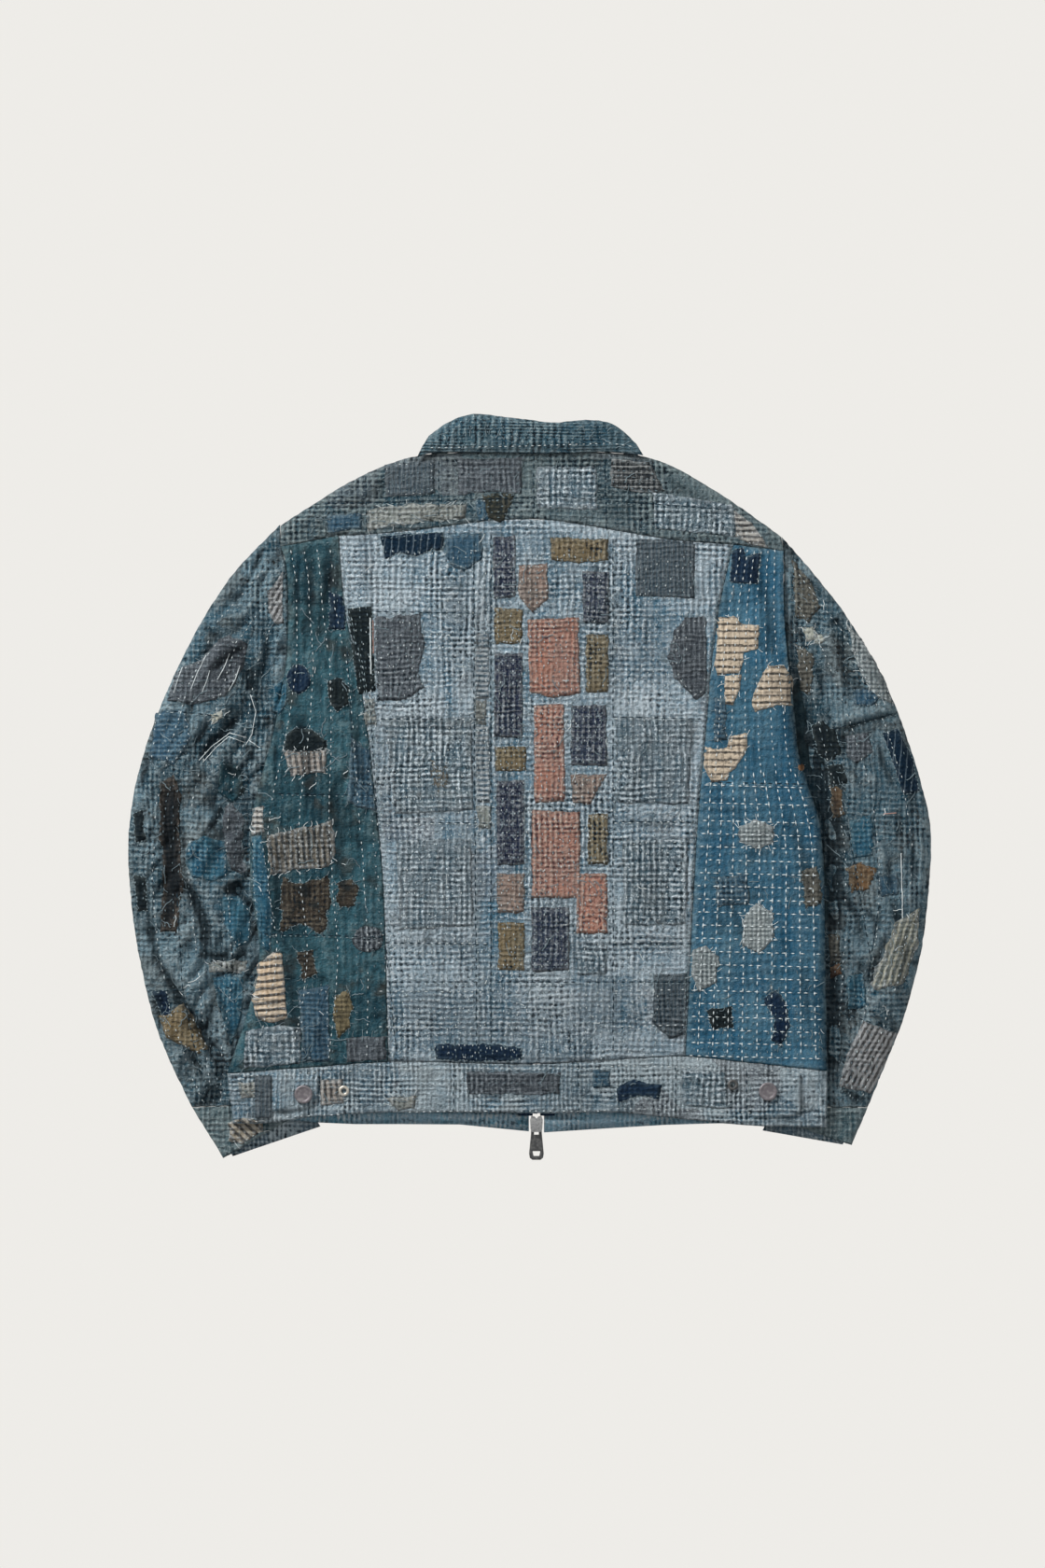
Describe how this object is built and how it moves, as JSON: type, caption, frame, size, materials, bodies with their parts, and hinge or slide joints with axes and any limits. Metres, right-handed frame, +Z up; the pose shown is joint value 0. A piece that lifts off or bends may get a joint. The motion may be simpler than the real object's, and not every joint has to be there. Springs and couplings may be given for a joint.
{
  "type": "patched boro jacket",
  "caption": "Boxy zip jacket pieced from indigo, teal and grey cotton patches with rows of white running stitch, laid flat face down so that its back shows.",
  "frame": {"origin": "centre of the jacket's outline, on the surface that it lies on", "axes": "+Y from hem to collar, +X towards the right sleeve as the back is seen, +Z up from the surface"},
  "size_m": [0.7448, 0.6916, 0.0165],
  "materials": {
    "cloth_gauze": "faded indigo cotton gauze, crinkled and patched",
    "cloth_teal": "indigo cotton with rows of running stitch",
    "cloth_indigo": "deep indigo cotton with small woven crosses",
    "cloth_grey": "worn grey cotton",
    "cloth_ticking": "cream and black striped cotton",
    "cloth_salmon": "faded salmon cotton",
    "cloth_tape": "woven zip tape",
    "zip_metal": "worn grey zinc casting",
    "pull_metal": "dark worn casting",
    "button_metal": "dull mauve grey plating",
    "eyelet_metal": "pale worn brass"
  },
  "bodies": {
    "jacket": {"back_centre": "cloth_gauze", "back_side_left": "cloth_teal", "back_side_right": "cloth_teal", "back_yoke": "cloth_teal", "collar_fall": "cloth_gauze", "collar_front_left": "cloth_gauze", "collar_front_right": "cloth_gauze", "collar_stand": "cloth_gauze", "cuff_left": "cloth_teal", "cuff_right": "cloth_teal", "cuff_under_left": "cloth_teal", "cuff_under_right": "cloth_teal", "eyelet_left": "eyelet_metal", "eyelet_right": "eyelet_metal", "front_left": "cloth_teal", "front_right": "cloth_teal", "loop_left": "cloth_grey", "panel_scraps_low": "cloth_salmon", "panel_scraps_mid": "cloth_indigo", "panel_scraps_top": "cloth_salmon", "patch_left_arch": "cloth_ticking", "patch_left_roll": "cloth_ticking", "patch_left_stripe": "cloth_ticking", "patch_right_edge": "cloth_ticking", "patch_right_low": "cloth_ticking", "patch_right_top": "cloth_ticking", "patch_sleeve_left": "cloth_grey", "patch_sleeve_right": "cloth_indigo", "sleeve_left": "cloth_teal", "sleeve_right": "cloth_teal", "sleeve_under_left": "cloth_teal", "sleeve_under_right": "cloth_teal", "slider_bottom": "zip_metal", "slider_top": "zip_metal", "tab_left": "cloth_grey", "tab_right": "cloth_grey", "tack_button_left": "button_metal", "tack_button_right": "button_metal", "waistband_back": "cloth_gauze", "waistband_front_left": "cloth_teal", "waistband_front_right": "cloth_teal", "zip_tape_left": "cloth_tape", "zip_tape_right": "cloth_tape", "zip_teeth": "zip_metal"},
    "bottom_pull": {"pull_bottom": "pull_metal"},
    "top_pull": {"pull_top": "pull_metal"}
  },
  "joints": [
    {"name": "bottom_pull_swing", "type": "hinge", "parent": "jacket", "child": "bottom_pull", "pos_m": [0.0066, -0.31526, 0.00228], "axis": [1, 0, 0], "range_deg": [0, 175]},
    {"name": "top_pull_swing", "type": "hinge", "parent": "jacket", "child": "top_pull", "pos_m": [0.0066, 0.22394, 0.00228], "axis": [1, 0, 0], "range_deg": [0, 175]}
  ]
}
